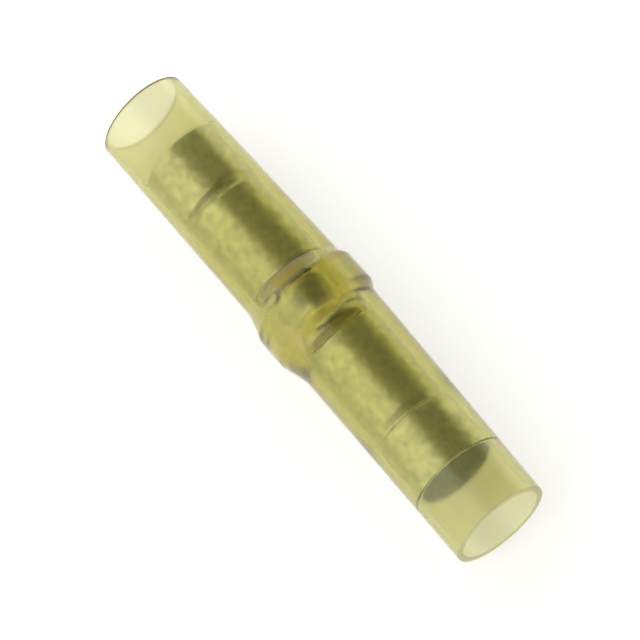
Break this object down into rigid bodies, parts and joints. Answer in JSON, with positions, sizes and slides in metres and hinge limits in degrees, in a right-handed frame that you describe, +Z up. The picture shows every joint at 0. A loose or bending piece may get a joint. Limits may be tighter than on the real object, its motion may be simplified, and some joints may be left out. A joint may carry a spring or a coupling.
{
  "type": "insulated butt splice connector",
  "caption": "Insulated butt splice: a tinned wire barrel with a grip sleeve over each half, inside a clear yellow nylon tube with a central collar.",
  "frame": {"origin": "middle of the splice, on its axis", "axes": "+X along the axis to one wire mouth, +Z up as the splice lies on its side, +Y across"},
  "size_m": [0.041, 0.0088, 0.0088],
  "materials": {
    "nylon": "clear yellow moulded nylon, smooth, slightly hazy",
    "tinned_copper": "tin-plated copper, dull satin",
    "tin_plate": "tin-plated brass strip, dull satin with a faint mottle"
  },
  "bodies": {
    "root": {"insulation_tube": "nylon", "wire_barrel": "tinned_copper", "grip_sleeve_right": "tin_plate", "grip_sleeve_left": "tin_plate"}
  },
  "joints": []
}
